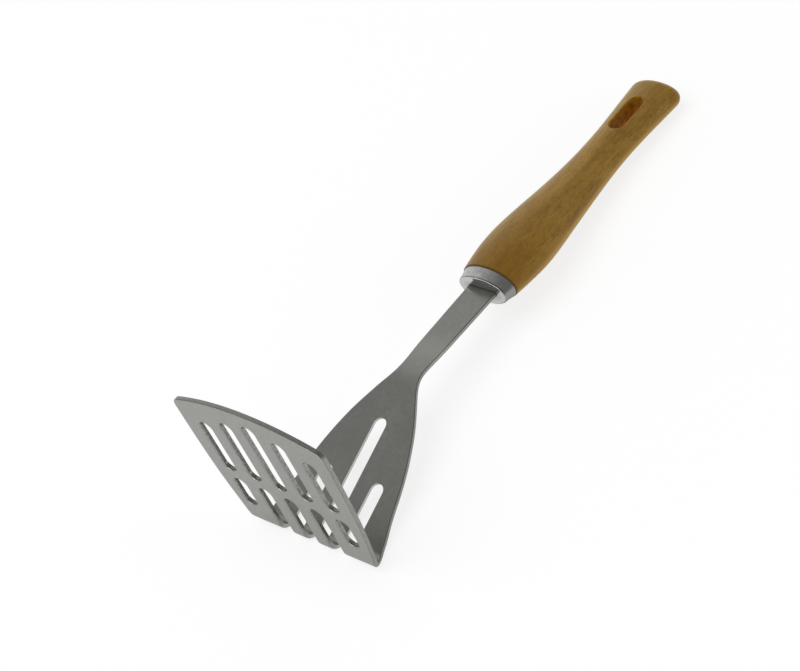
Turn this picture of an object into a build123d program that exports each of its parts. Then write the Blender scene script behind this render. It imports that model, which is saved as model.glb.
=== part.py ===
from build123d import *
from math import cos, radians, sin, tan
import os

# A hand potato masher lying on its back. One sheet of stainless steel is cut, slotted and folded
# into the mashing plate, the fan blade and the shank. The shank passes through a metal cap into a
# flattened oval beech handle, where its tang is set in resin.
# Millimetres. X runs from the plate to the handle's butt, Y across, Z up. The origin is under the
# middle of the whole length, on the surface that the masher lies on.

# Sheet and bends
sheet = 2.0
fold_inner = 4.0
neck_radius = 35.0
fold_opening = 73.5
neck_turn = 21.4
rest_lean = 0.498

# Mashing plate, measured from the line where the fold begins. The sheet's width at the two sides of
# the fold is a share of the plate's.
plate_length = 77.2
plate_half_width = 38.9
plate_fold_share = 0.866
blade_fold_share = 0.758
front_radius = 112.0
corner_radius = 4.5
side_bulge_shares = (0.68, 0.36)

# Slots, with their ends as shares of the plate's or the blade's length
slot_width = 6.3
slot_pitch = 13.5
far_slot_start_share = 0.4015
far_slot_end_shares = (0.7865, 0.8535, 0.903, 0.8535, 0.7865)
near_slot_start_share = 0.114
near_slot_end_share = 0.3275
middle_slot_share = 0.8135
side_slot_share = 0.408

# Fan blade, from the fold to the neck bend
blade_length = 62.4
blade_length_shares = (0.07, 0.175, 0.36, 0.52, 0.705, 0.785, 0.855, 0.95)
blade_width_shares = (0.971, 0.912, 0.834, 0.759, 0.637, 0.573, 0.507, 0.407)
blade_end_half = 10.5

# Neck, shank and tang
neck_width_shares = (0.73, 0.30, 0.08, 0.0)
neck_half = 6.0
shank_half = 7.1
shank_length = 48.4
shank_length_shares = (0.2, 0.4, 0.7)
shank_width_shares = (0.40, 0.62, 0.83)
tang_half = 5.4
tang_length = 60.0
tang_shoulder = 9.0
notch_depth = 1.4
notch_length = 6.0
notch_place_shares = (0.35, 0.7)

# Ferrule, a cap on the handle's end. It stays inside the wood at the joint and narrows ahead of it.
cap_length = 5.5
cap_inset = 0.3
cap_taper = 1.0
cap_floor = 1.8
cap_wall = 1.6
cap_edge = 0.8
cap_clearance = 0.15

# Handle
handle_length = 133.6
grip_half_width = 15.75
grip_half_depth = 10.0
grip_length_shares = (0.0, 0.083, 0.165, 0.263, 0.354, 0.445, 0.579, 0.714, 0.848, 0.924, 1.0)
grip_width_shares = (0.881, 0.965, 1.0, 0.94, 0.843, 0.757, 0.664, 0.634, 0.688, 0.74, 0.79)
grip_depth_shares = (0.83, 0.95, 1.0, 0.99, 0.945, 0.878, 0.785, 0.735, 0.72, 0.71, 0.69)
grip_bow_shares = (0.02, 0.045, 0.03, 0.01, -0.02, -0.045, -0.045, -0.02, 0.0, 0.005, 0.0)
butt_round = 5.3
butt_steps = 6
tenon_length = 3.5
hang_hole_length = 22.3
hang_hole_width = 7.6
hang_hole_inset = 26.5

# Resin bed round the tang
bed_side = 1.0
bed_face = 1.5
bed_end = 1.5

cut_overrun = 1.0
fold_steps = 6

# Worked out from the sizes above
plate_fold_half = plate_half_width * plate_fold_share
blade_fold_half = plate_half_width * blade_fold_share
far_slot_start = plate_length * far_slot_start_share
near_slot_start = plate_length * near_slot_start_share
near_slot_end = plate_length * near_slot_end_share
cap_joint_half_width = grip_half_width * grip_width_shares[0] - cap_inset
cap_joint_half_depth = grip_half_depth * grip_depth_shares[0] - cap_inset
cap_end_half_width = cap_joint_half_width - cap_taper
cap_end_half_depth = cap_joint_half_depth - cap_taper
fold_outer = fold_inner + sheet
fold_middle = fold_inner + sheet / 2
plate_heading = rest_lean - 90
blade_heading = 90 - fold_opening + rest_lean
handle_heading = blade_heading - neck_turn
fold_turn = blade_heading - plate_heading


def ahead(heading, length):
    """Step along the strip, as X and Z."""
    return length * cos(radians(heading)), length * sin(radians(heading))


def beside(heading, length):
    """Step square to the strip, away from the side that the plate faces."""
    return length * sin(radians(heading)), -length * cos(radians(heading))


def moved(point, *steps):
    """Point in X and Z after the steps."""
    return point[0] + sum(step[0] for step in steps), point[1] + sum(step[1] for step in steps)


def square_plane(point, heading):
    """Plane square to the strip, its x across and its y towards the front side."""
    direction = (cos(radians(heading)), 0, sin(radians(heading)))
    return Plane(origin=(point[0], 0, point[1]), x_dir=Axis.Y.direction, z_dir=direction)


def flat_plane(point, heading):
    """Plane of the strip's back face, its y along the strip and its z through the sheet."""
    normal = (-sin(radians(heading)), 0, cos(radians(heading)))
    return Plane(origin=(point[0], 0, point[1]), x_dir=-Axis.Y.direction, z_dir=normal)


# The strip's path, from the fold's centre to the butt, before it is centred on the origin
neck_tangent = radians(neck_turn)
axis_length = shank_length + cap_length + handle_length
path_length = (
    blade_length * cos(radians(blade_heading))
    + fold_middle * sin(radians(blade_heading))
    + neck_radius * (sin(radians(blade_heading)) - sin(radians(handle_heading)))
    + axis_length * cos(radians(handle_heading))
)
plate_reach = fold_outer * cos(radians(rest_lean)) + plate_length * sin(radians(rest_lean))
fold_centre = ((plate_reach - path_length) / 2, fold_outer)

plate_foot = moved(fold_centre, beside(plate_heading, fold_outer))
blade_foot = moved(fold_centre, beside(blade_heading, fold_outer))
neck_centre = moved(
    fold_centre,
    beside(blade_heading, fold_middle + neck_radius),
    ahead(blade_heading, blade_length),
)
shank_middle = moved(neck_centre, beside(handle_heading, -neck_radius))
shank_foot = moved(shank_middle, beside(handle_heading, sheet / 2))
cap_end = moved(shank_middle, ahead(handle_heading, shank_length))
handle_start = moved(cap_end, ahead(handle_heading, cap_length))
plate_plane = flat_plane(plate_foot, plate_heading)
blade_plane = flat_plane(blade_foot, blade_heading)
shank_plane = flat_plane(shank_foot, handle_heading)
cap_plane = square_plane(cap_end, handle_heading)
handle_plane = square_plane(handle_start, handle_heading)

# Head: plate, fold, blade, neck, shank and tang in one sheet. Along the strip the plate lies
# behind the fold, so its outline and slots run the other way.
slot_places = [slot_pitch * (number - 2) for number in range(5)]
through_places = slot_places[1:-1]
far_slot_ends = [plate_length * far_end for far_end in far_slot_end_shares]
blade_slot_ends = [blade_length * side_slot_share, blade_length * middle_slot_share]
blade_slot_ends.append(blade_slot_ends[0])
front_corner = plate_length - front_radius + (front_radius**2 - plate_half_width**2) ** 0.5
side_width = plate_fold_half + (plate_half_width - plate_fold_half) * side_bulge_shares[0]
side_place = front_corner * side_bulge_shares[1]

with BuildPart() as masher_head:
    with BuildSketch(plate_plane) as plate_outline:
        with BuildLine():
            Line((-plate_fold_half, 0), (plate_fold_half, 0))
            ThreePointArc(
                (plate_fold_half, 0), (side_width, -side_place), (plate_half_width, -front_corner)
            )
            ThreePointArc(
                (plate_half_width, -front_corner), (0, -plate_length), (-plate_half_width, -front_corner)
            )
            ThreePointArc(
                (-plate_half_width, -front_corner), (-side_width, -side_place), (-plate_fold_half, 0)
            )
        make_face()
        fillet(plate_outline.vertices().group_by(Axis.Z)[-1], radius=corner_radius)
    extrude(amount=sheet)

    for step in range(fold_steps + 1):
        share = step / fold_steps
        heading = plate_heading + fold_turn * share
        half_width = plate_fold_half + (blade_fold_half - plate_fold_half) * share
        with BuildSketch(square_plane(moved(fold_centre, beside(heading, fold_middle)), heading)):
            Rectangle(2 * half_width, sheet)
    loft()

    blade_edge = [(blade_fold_half, 0)]
    for place, width in zip(blade_length_shares, blade_width_shares):
        blade_edge.append((blade_fold_half * width, blade_length * place))
    blade_edge.append((blade_end_half, blade_length))
    with BuildSketch(blade_plane):
        with BuildLine():
            Spline(*blade_edge)
            Line((blade_end_half, blade_length), (-blade_end_half, blade_length))
            Spline(*[(-x, y) for x, y in reversed(blade_edge)])
            Line((-blade_fold_half, 0), (blade_fold_half, 0))
        make_face()
    extrude(amount=sheet)

    neck_widths = [blade_end_half]
    for width in neck_width_shares:
        neck_widths.append(neck_half + (blade_end_half - neck_half) * width)
    for step, half_width in enumerate(neck_widths):
        heading = blade_heading - neck_turn * step / len(neck_width_shares)
        with BuildSketch(square_plane(moved(neck_centre, beside(heading, -neck_radius)), heading)):
            Rectangle(2 * half_width, sheet)
    loft()

    shank_edge = [(neck_half, 0)]
    for place, width in zip(shank_length_shares, shank_width_shares):
        shank_edge.append((neck_half + (shank_half - neck_half) * width, shank_length * place))
    shank_edge.append((shank_half, shank_length))
    shank_end = shank_length + tang_shoulder
    tang_end = shank_length + tang_length
    with BuildSketch(shank_plane):
        with BuildLine():
            Spline(*shank_edge)
            Polyline(
                (shank_half, shank_length),
                (shank_half, shank_end),
                (tang_half, shank_end),
                (tang_half, tang_end),
                (-tang_half, tang_end),
                (-tang_half, shank_end),
                (-shank_half, shank_end),
                (-shank_half, shank_length),
            )
            Spline(*[(-x, y) for x, y in reversed(shank_edge)])
            Line((-neck_half, 0), (neck_half, 0))
        make_face()
        for place in notch_place_shares:
            with Locations(
                (tang_half, shank_length + tang_length * place),
                (-tang_half, shank_length + tang_length * place),
            ):
                Rectangle(2 * notch_depth, notch_length, mode=Mode.SUBTRACT)
    extrude(amount=sheet)

    # Slots in the plate: a far row of five, and a near row whose outer two end before the fold
    with BuildSketch(plate_plane):
        for place, far_end in zip(slot_places, far_slot_ends):
            with Locations((place, -(far_slot_start + far_end) / 2)):
                SlotOverall(far_end - far_slot_start, slot_width, rotation=90)
        for place in (slot_places[0], slot_places[-1]):
            with Locations((place, -(near_slot_start + near_slot_end) / 2)):
                SlotOverall(near_slot_end - near_slot_start, slot_width, rotation=90)
        for place in through_places:
            with Locations((place, slot_width / 2 - near_slot_end)):
                Circle(slot_width / 2)
            with Locations((place, (slot_width / 2 - near_slot_end) / 2)):
                Rectangle(slot_width, near_slot_end - slot_width / 2)
    extrude(amount=sheet, mode=Mode.SUBTRACT)

    # The other three run round the fold and up the blade, the middle one the furthest
    with BuildSketch(blade_plane):
        for place, reach in zip(through_places, blade_slot_ends):
            with Locations((place, reach - slot_width / 2)):
                Circle(slot_width / 2)
            with Locations((place, (reach - slot_width / 2) / 2)):
                Rectangle(slot_width, reach - slot_width / 2)
    extrude(amount=sheet, mode=Mode.SUBTRACT)
    for place in through_places:
        with BuildSketch(Plane.XZ.offset(-place)):
            with Locations(fold_centre):
                Circle(fold_outer + cut_overrun)
        extrude(amount=slot_width / 2, both=True, mode=Mode.SUBTRACT)
masher_head.part.label = "masher_head"

# Ferrule: a shallow oval cap with a slot for the shank
with BuildPart() as ferrule:
    with BuildSketch(cap_plane):
        Ellipse(cap_end_half_width, cap_end_half_depth)
    with BuildSketch(cap_plane.offset(cap_length)):
        Ellipse(cap_joint_half_width, cap_joint_half_depth)
    loft()
    fillet(ferrule.edges().sort_by(Axis(cap_plane.origin, cap_plane.z_dir))[0], radius=cap_edge)
    with BuildSketch(cap_plane.offset(cap_floor)):
        Ellipse(cap_joint_half_width - cap_wall, cap_joint_half_depth - cap_wall)
    extrude(amount=cap_length - cap_floor, mode=Mode.SUBTRACT)
    with BuildSketch(cap_plane):
        Rectangle(2 * (shank_half + cap_clearance), sheet + 2 * cap_clearance)
    extrude(amount=cap_floor, mode=Mode.SUBTRACT)
ferrule.part.label = "ferrule"

# Handle: a flattened oval that swells behind the ferrule, draws in to a waist and widens again
# to the rounded butt, with a tenon for the cap, a mortise for the tang and a hole to hang it by
mortise_start = cap_length - tenon_length
mortise_length = tang_length - mortise_start + bed_end
with BuildPart() as handle:
    grip_length = handle_length - butt_round
    for place, width, depth, bow in zip(
        grip_length_shares, grip_width_shares, grip_depth_shares, grip_bow_shares
    ):
        with BuildSketch(handle_plane.offset(grip_length * place)):
            with Locations((0, grip_half_depth * bow)):
                Ellipse(grip_half_width * width, grip_half_depth * depth)
    loft()
    butt_half_width = grip_half_width * grip_width_shares[-1]
    butt_half_depth = grip_half_depth * grip_depth_shares[-1]
    for step in range(butt_steps + 1):
        turn = radians(90 * step / butt_steps)
        drawn_in = butt_round * (1 - cos(turn))
        with BuildSketch(handle_plane.offset(grip_length + butt_round * sin(turn))):
            with Locations((0, grip_half_depth * grip_bow_shares[-1])):
                Ellipse(butt_half_width - drawn_in, butt_half_depth - drawn_in)
    loft()
    with BuildSketch(handle_plane.offset(-tenon_length)):
        Ellipse(
            cap_joint_half_width - cap_wall - cap_clearance,
            cap_joint_half_depth - cap_wall - cap_clearance,
        )
    extrude(amount=tenon_length)
    with BuildSketch(handle_plane.offset(-tenon_length)):
        Rectangle(2 * (shank_half + bed_side), sheet + 2 * bed_face)
    extrude(amount=mortise_length, mode=Mode.SUBTRACT)
    hole_middle = moved(handle_start, ahead(handle_heading, handle_length - hang_hole_inset))
    with BuildSketch(flat_plane(hole_middle, handle_heading)):
        SlotOverall(hang_hole_length, hang_hole_width, rotation=90)
    extrude(amount=grip_half_depth, both=True, mode=Mode.SUBTRACT)
handle.part.label = "handle"

# Resin that fills the mortise round the tang
with BuildPart() as tang_resin:
    with BuildSketch(handle_plane.offset(-tenon_length)):
        Rectangle(2 * (shank_half + bed_side), sheet + 2 * bed_face)
    extrude(amount=mortise_length)
    add(masher_head.part, mode=Mode.SUBTRACT)
tang_resin.part.label = "tang_resin"

os.makedirs("parts", exist_ok=True)
export_step(masher_head.part, "parts/masher_head.step")
export_step(ferrule.part, "parts/ferrule.step")
export_step(handle.part, "parts/handle.step")
export_step(tang_resin.part, "parts/tang_resin.step")
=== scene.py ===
import math

import bmesh
import bpy
import numpy as np
from bpy.props import FloatProperty, FloatVectorProperty, IntProperty, PointerProperty
from mathutils import Matrix, Vector
from mathutils.geometry import delaunay_2d_cdt


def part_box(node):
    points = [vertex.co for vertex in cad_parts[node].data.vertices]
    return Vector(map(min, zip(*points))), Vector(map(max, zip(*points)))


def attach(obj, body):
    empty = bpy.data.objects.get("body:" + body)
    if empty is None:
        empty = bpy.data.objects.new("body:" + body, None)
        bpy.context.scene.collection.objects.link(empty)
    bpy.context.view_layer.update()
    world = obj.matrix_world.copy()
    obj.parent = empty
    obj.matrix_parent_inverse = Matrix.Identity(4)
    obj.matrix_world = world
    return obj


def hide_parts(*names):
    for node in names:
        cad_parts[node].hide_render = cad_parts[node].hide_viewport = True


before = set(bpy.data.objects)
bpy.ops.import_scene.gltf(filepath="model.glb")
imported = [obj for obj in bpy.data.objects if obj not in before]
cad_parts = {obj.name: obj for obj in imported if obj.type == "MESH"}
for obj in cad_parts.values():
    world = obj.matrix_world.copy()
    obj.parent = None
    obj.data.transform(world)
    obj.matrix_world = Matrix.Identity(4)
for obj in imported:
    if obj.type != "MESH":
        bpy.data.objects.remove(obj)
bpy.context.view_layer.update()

bl_info = {
    "name": "Folded Potato Masher",
    "version": (1, 0, 0),
    "blender": (4, 5, 0),
    "location": "3D View > Sidebar > Masher",
    "description": "A one-sheet steel potato masher with a capped beech handle, built piece by piece",
    "category": "Add Mesh",
}

# Turns through the rounded edges, in radians up to a quarter turn
SHEET_TURNS = np.radians((0, 22.5, 45, 67.5, 90))
RIM_TURNS = np.radians((0, 18, 36, 54, 72, 90))
WOOD_TURNS = np.radians((0, 30, 60, 90))
BUTT_TURNS = np.radians(np.linspace(7.5, 90, 12))

# Points on the sheet's outline, with the steps on plate side, fold, blade, neck and shank
FRONT_POINTS = 22
CORNER_POINTS = 12
TANG_POINTS = 8
OUTLINE_STEPS = (29, 20, 39, 18, 17)

# Points on slots and hang hole: along a side, on the fold, round an end, and how close two may lie
SIDE_POINTS = 12
FOLD_POINTS = 21
SLOT_END_POINTS = 17
HOLE_END_POINTS = 21
NEAREST_POINTS = 0.0002

# Points inside the sheet's faces: how far they spread across and their steps along and across, where
# the flat parts start and end, how far the bends' points lead past a bend, and the gap to an edge
FOLD_SPREAD, FOLD_STEP, FOLD_ACROSS = 0.0335, 0.0005, 0.0012
NECK_SPREAD, NECK_STEP, NECK_ACROSS = 0.0096, 0.0015, 0.0024
FLAT_SPREAD, FLAT_STEP = 0.038, 0.004
PLATE_FLAT = (-0.074, -0.001)
BLADE_FLAT_START = 0.012
BEND_LEAD = 0.001
SHEET_GAP = 0.0005

# Flat rim beside each rounded edge, and how much of a slot wall's finish the outer edge gets
RIM_SPARE = 0.0003
OUTLINE_WALL = 0.3

# Ferrule: the mouth of its slot as (behind the face, wider than the slot), its dished face as
# (inside the rim, share of the dish), the bevel at the wood, the side's flare and the slot's corners
MOUTH_RINGS = ((0.00015, 0.0), (0.0, 0.00012), (0.0, 0.0004))
DISH_RINGS = ((0.0012, 1.0), (0.0007, 1.0), (0.0005, 0.85), (0.0003, 0.4), (0.00015, 0.1), (0.00005, 0.0))
LIP = 0.0001
FLARE_POWER = 1.3
FLARE_RINGS = 8
SLOT_CORNERS = 0.12

# Handle: its face at the ferrule, the start of the grip and the corners of the mortise
FACE_INSET = 0.0012
GRIP_START = 0.0006
BED_CORNERS = 0.06

# Half the stretch that is filled round the hang hole, the rim round it and the least gap inside
HOLE_ZONE = 0.0165
HOLE_MARGIN = 0.0005
ZONE_GAP = 0.0007

# Rings along the handle
GRIP_RINGS = 50
ZONE_ROWS = 23
WALL_RINGS = 8
BUTT_RINGS = 8

# Patches that only the metal shows, as (direction, cosine at which the patch ends, brightness)
PATCHES = {
    "behind_shank": ((0.56, 0.78, 0.3), 0.86, 0.27),
    "neck_strip": ((0.435, 0.585, 0.685), 0.986, 0.26),
    "small_lamp": ((-0.96, 0.12, 0.16), 0.94, 5.0),
    "dark_card": ((-0.8, -0.08, 0.6), 0.8, -0.8),
}

# Where the studio changes: its grey and its horizon from front to back, its light from low to high
GREY_SPAN = (-0.4, 0.5)
HORIZON_SPAN = (-0.9, -0.2)
SKY_SPAN = (0.05, 0.75)
LEAST_LIGHT = 0.02


def number(**options):
    """A short way to declare settings of one kind, single or in rows."""

    def declare(name, about, default):
        if isinstance(default, tuple):
            size = len(default)
            return FloatVectorProperty(name=name, description=about, default=default, size=size, **options)
        return FloatProperty(name=name, description=about, default=default, **options)

    return declare


length = number(unit="LENGTH", precision=5)
angle = number(unit="ROTATION")
power = number(unit="POWER")
lens = number(unit="CAMERA")
share = number(subtype="FACTOR")
shares = number()
colour = number(subtype="COLOR", min=0.0, max=1.0)


def group(kind, name, about):
    return PointerProperty(type=kind, name=name, description=about)


class SheetSizes(bpy.types.PropertyGroup):
    """The steel sheet that is plate, fan blade, neck, shank and tang in one"""

    thickness: length("Sheet thickness", "Thickness of the steel", 0.002)
    edge_round: length("Edge rounding", "Radius of the tumbled outer edges", 0.0004)
    slot_round: length("Slot rounding", "Radius of the slot edges outside, where the punch went in", 0.0008)
    slot_sharp: length("Slot sharp side", "Radius of the slot edges on the inside", 0.00022)
    fold_radius: length("Fold radius", "Inner radius of the fold between plate and blade", 0.004)
    fold_opening: angle("Fold opening", "Angle between the plate and the blade", math.radians(73.5))
    neck_radius: length("Neck radius", "Middle radius of the bend above the blade", 0.035)
    neck_turn: angle("Neck turn", "How far the neck bend turns the shank down", math.radians(21.4))
    rest_lean: angle("Rest lean", "How far the plate leans back when it lies down", math.radians(0.498))
    plate_length: length("Plate length", "From the fold to the middle of the front edge", 0.0772)
    plate_half_width: length("Plate half width", "Half the width at the front corners", 0.0389)
    front_radius: length("Front radius", "Radius of the curved front edge", 0.112)
    corner_radius: length("Corner radius", "Radius of the two front corners", 0.0045)
    side_places: length(
        "Side places",
        "Distance from the fold of each plate width",
        (0.0, 0.005, 0.0125, 0.0255, 0.037, 0.048, 0.058),
    )
    side_widths: length(
        "Side widths",
        "Half width of the plate at each place",
        (0.0335, 0.03445, 0.0356, 0.0372, 0.03805, 0.0385, 0.03875),
    )
    blade_length: length("Blade length", "From the fold to the neck bend", 0.0624)
    blade_places: length(
        "Blade places",
        "Distance from the fold of each blade width",
        (0.0, 0.0044, 0.0109, 0.0225, 0.0324, 0.044, 0.049)
        + (0.0534, 0.0593, 0.0624, 0.0657, 0.0689, 0.0722, 0.0755),
    )
    blade_widths: length(
        "Blade widths",
        "Half width of the blade and neck at each place",
        (0.0295, 0.0286, 0.0269, 0.0246, 0.0224, 0.0188, 0.0169)
        + (0.01495, 0.012, 0.0104, 0.0087, 0.00725, 0.0063, 0.00598),
    )
    shank_length: length("Shank length", "From the neck bend to the ferrule", 0.0484)
    shank_places: length("Shank places", "Distance from the neck bend", (0.0097, 0.0194, 0.0339))
    shank_widths: length("Shank widths", "Half width at each place", (0.00644, 0.00668, 0.00691))
    shank_half_width: length("Shank half width", "Half width where it enters the ferrule", 0.0071)
    # Place and fade of the painted highlight on the shank above the neck bend
    shank_highlight_place: length("Rubbed patch", "From the neck bend to the middle of the rubbed patch", 0.011)
    shank_highlight_length: length("Rubbed length", "How far that patch fades out", 0.0075)
    tang_length: length("Tang length", "From the ferrule's face to the hidden end", 0.06)
    tang_half_width: length("Tang half width", "Half width inside the wood", 0.0054)
    tang_shoulder: length("Tang shoulder", "Where the shank steps down to the tang", 0.009)


class SlotSizes(bpy.types.PropertyGroup):
    """The rows of round-ended slots in the plate and the blade"""

    width: length("Slot width", "Width of every slot", 0.0063)
    pitch: length("Slot pitch", "Distance from one slot to the next", 0.0135)
    far_start: length("Far row start", "Distance from the fold", 0.031)
    far_ends: length("Far row ends", "Far ends of the five slots", (0.0607, 0.0659, 0.0697, 0.0659, 0.0607))
    near_start: length("Near row start", "Where the two outer slots begin", 0.0088)
    near_end: length("Near row end", "Far end of the near row", 0.0253)
    blade_ends: length("Blade ends", "Ends of the three slots in the blade", (0.02546, 0.05076, 0.02546))


class CapSizes(bpy.types.PropertyGroup):
    """The metal ferrule on the handle's end"""

    length: length("Cap length", "From the flat face to the wood", 0.0055)
    end_half_width: length("End half width", "Half width of the flat face", 0.01258)
    end_half_depth: length("End half depth", "Half depth of the flat face", 0.007)
    joint_half_width: length("Joint half width", "Half width at the wood", 0.01358)
    joint_half_depth: length("Joint half depth", "Half depth at the wood", 0.008)
    edge: length("Rim rounding", "Radius of the rim round the flat face", 0.0009)
    dish: length("Dish", "How far the flat face lies behind the rim", 0.0002)
    floor: length("Floor", "Thickness behind the flat face", 0.0018)
    wall: length("Wall", "Thickness round the tenon", 0.0016)
    clearance: length("Clearance", "Gap round the shank and the tenon", 0.00015)


class HandleSizes(bpy.types.PropertyGroup):
    """The beech handle, from the ferrule to the butt"""

    length: length("Handle length", "From the ferrule to the butt", 0.1336)
    half_width: length("Grip half width", "Half width of the belly", 0.01575)
    half_depth: length("Grip half depth", "Half depth of the belly", 0.01)
    places: shares(
        "Places",
        "Shares of the length ahead of the rounded butt",
        (0.0, 0.083, 0.165, 0.263, 0.354, 0.445, 0.579, 0.714, 0.848, 0.924, 1.0),
    )
    widths: shares(
        "Widths",
        "Shares of the half width",
        (0.881, 0.965, 1.0, 0.94, 0.843, 0.757, 0.664, 0.634, 0.688, 0.74, 0.79),
    )
    depths: shares(
        "Depths",
        "Shares of the half depth",
        (0.83, 0.95, 1.0, 0.99, 0.945, 0.878, 0.785, 0.735, 0.72, 0.71, 0.69),
    )
    bows: shares(
        "Bows",
        "How far the middle moves to the front, as shares of the half depth",
        (0.02, 0.045, 0.03, 0.01, -0.02, -0.045, -0.045, -0.02, 0.0, 0.005, 0.0),
    )
    butt_round: length("Butt rounding", "Radius round the butt", 0.0053)
    joint_round: length("Joint rounding", "Radius of the wood's edge at the ferrule", 0.0004)
    tenon: length("Tenon", "How far the wood goes into the ferrule", 0.0035)
    bed_side: length("Bed side", "Resin beside the shank's width", 0.001)
    bed_face: length("Bed face", "Resin over the tang's faces and past its end", 0.0015)
    hole_length: length("Hole length", "Length of the hang hole", 0.0223)
    hole_width: length("Hole width", "Width of the hang hole", 0.0076)
    hole_inset: length("Hole inset", "From the butt's end to the middle of the hole", 0.0265)
    hole_round: length("Hole rounding", "Radius of the hole's rim", 0.0004)


class Finishes(bpy.types.PropertyGroup):
    """Colours of the steel, the ferrule, the wood and the resin, with the light and shade painted on them"""

    steel: colour("Steel", "Tumbled stainless steel", (0.328, 0.331, 0.306))
    # Painted reflection of the pale floor on the walls of the blade's slots
    blade_wall_painted_reflection: colour("Cut steel", "Bright walls of the slots in the blade", (0.74, 0.74, 0.72))
    cap: colour("Ferrule face", "Polished metal", (0.60, 0.605, 0.595))
    # Lit and shaded copies of the ferrule's side: the left one is painted light, the duller one is the
    # turned metal, also darkened as painted shade at the right end
    cap_side_painted_light: colour("Ferrule left side", "Turned metal where it is brighter", (0.68, 0.685, 0.665))
    cap_side: colour("Ferrule side", "Turned metal, duller than the face", (0.43, 0.433, 0.42))
    # Painted shade in a line on the ferrule's rim
    cap_rim_painted_shade: colour("Ferrule line", "Dark line behind the rim", (0.06, 0.06, 0.06))
    cap_slot: colour("Ferrule slot", "Shade inside the slot", (0.2, 0.2, 0.2))
    wood_light: colour("Light wood", "Early wood between the grain lines", (0.208, 0.112, 0.0155))
    wood_dark: colour("Dark wood", "Grain lines", (0.168, 0.086, 0.0105))
    wood_fleck: colour("Flecks", "Short flecks along the grain", (0.125, 0.055, 0.009))
    wood_pale: colour("Pale wood", "Pale patches and specks", (0.285, 0.168, 0.032))
    wood_rich: colour("Rich wood", "Deeper brown towards the ferrule", (0.15, 0.065, 0.008))
    # Painted light on the handle's lower right flank, which faces the floor
    wood_right_painted_light: colour("Golden wood", "Paler wood along the lower right flank", (0.33, 0.185, 0.022))
    # Painted light on the handle's upper left flank
    wood_left_painted_light: shares("Cream wood", "How much paler the upper left flank is", (1.36, 1.40, 1.60))
    wood_seam: colour("Seam", "Dark line where the wood meets the ferrule", (0.03, 0.016, 0.006))
    wood_bore: colour("Hole", "Bare wood inside the hang hole", (0.375, 0.163, 0.012))
    wood_gloss: colour("Gloss", "Tint of the oil's shine", (1.0, 0.72, 0.3))
    wood_fuzz: colour("Fuzz", "Tint of the fine fibres at a slant", (1.0, 0.8, 0.48))
    resin: colour("Resin", "Cured resin round the tang", (0.80, 0.74, 0.56))


class StageSizes(bpy.types.PropertyGroup):
    """Floor, light and camera"""

    floor_half: length("Floor half size", "Half the side of the square floor", 6.0)
    floor_drop: length("Floor drop", "How far the floor lies under the masher", 0.00005)
    floor_colour: colour("Floor", "Plain pale floor", (0.94, 0.94, 0.94))
    floor_shade: share("Shown shade", "Part of the floor's brightness that shows its shadow", 0.24)
    floor_glow: share("Shown glow", "Part of the floor's brightness that is always there", 0.794)
    mirror_shade: share("Mirrored shade", "The same part of the shadow in reflections", 0.75)
    mirror_glow: share("Mirrored glow", "The same part that is always there in reflections", 0.24)
    sky_low: share("Low sky", "Brightness of the world near the floor", 1.0)
    sky_high: share("High sky", "Brightness of the world overhead", 0.3)
    key_power: power("Key light", "Power of the large soft light", 19.0)
    key_size: length("Key size", "Width of the large soft light", 2.0)
    key_place: length("Key place", "Where the large soft light stands", (-0.5, 0.5, 1.8))
    side_power: power("Side light", "Power of the low soft light", 9.0)
    side_size: length("Side size", "Width of the low soft light", 1.2)
    side_place: length("Side place", "Where the low soft light stands", (0.4, -1.6, 0.22))
    grey_front: share("Front grey", "Studio in front, as the metal shows it", 0.24)
    low_front: share("Low front", "Horizon in front, as the metal shows it", 0.38)
    grey_back: share("Back grey", "Studio behind, as the metal shows it", 0.465)
    grey_height: share("Grey height", "Rise at which the white horizon has turned grey", 0.12)
    camera_place: length("Camera place", "Where the camera stands", (-0.40738, -0.51073, 0.621277))
    camera_right: shares("Camera right", "The picture's right side", (0.56736, -0.7587, -0.32001))
    camera_up: shares("Camera up", "The picture's top", (0.70992, 0.2539, 0.65687))
    focal_length: lens("Focal length", "On a 36 mm sensor", 96.147)


class MasherSettings(bpy.types.PropertyGroup):
    """Everything that the masher is built from"""

    sheet: group(SheetSizes, "Sheet", "The steel sheet")
    slots: group(SlotSizes, "Slots", "The slots")
    cap: group(CapSizes, "Ferrule", "The ferrule")
    handle: group(HandleSizes, "Handle", "The handle")
    finishes: group(Finishes, "Finishes", "Colours")
    stage: group(StageSizes, "Stage", "Floor, light and camera")
    ring_count: IntProperty(
        name="Ring count", description="Points round the handle and ferrule", default=96, min=24
    )


def smooth_line(places, values, at):
    """Reads a natural cubic line through the given values."""
    x, y, at = (np.array(v, float) for v in (places, values, at))
    h = np.diff(x)
    n = len(x)
    matrix = np.eye(n)
    right = np.zeros(n)
    for i in range(1, n - 1):
        matrix[i, i - 1 : i + 2] = h[i - 1], 2 * (h[i - 1] + h[i]), h[i]
        right[i] = 6 * ((y[i + 1] - y[i]) / h[i] - (y[i] - y[i - 1]) / h[i - 1])
    bend = np.linalg.solve(matrix, right)
    i = np.clip(np.searchsorted(x, at) - 1, 0, n - 2)
    t = at - x[i]
    rest = x[i + 1] - at
    return (
        (bend[i] * rest**3 + bend[i + 1] * t**3) / (6 * h[i])
        + (y[i] / h[i] - bend[i] * h[i] / 6) * rest
        + (y[i + 1] / h[i] - bend[i + 1] * h[i] / 6) * t
    )


def spread(reach, step):
    """Evenly spaced places on both sides of the middle."""
    return np.arange(-reach, reach + step / 10, step)


def rounded(radius, turns):
    """Steps of an edge rounded from its face to its side, as (below the face, in from the side)."""
    return [(radius * (1 - math.cos(turn)), radius * (1 - math.sin(turn))) for turn in turns]


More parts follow.
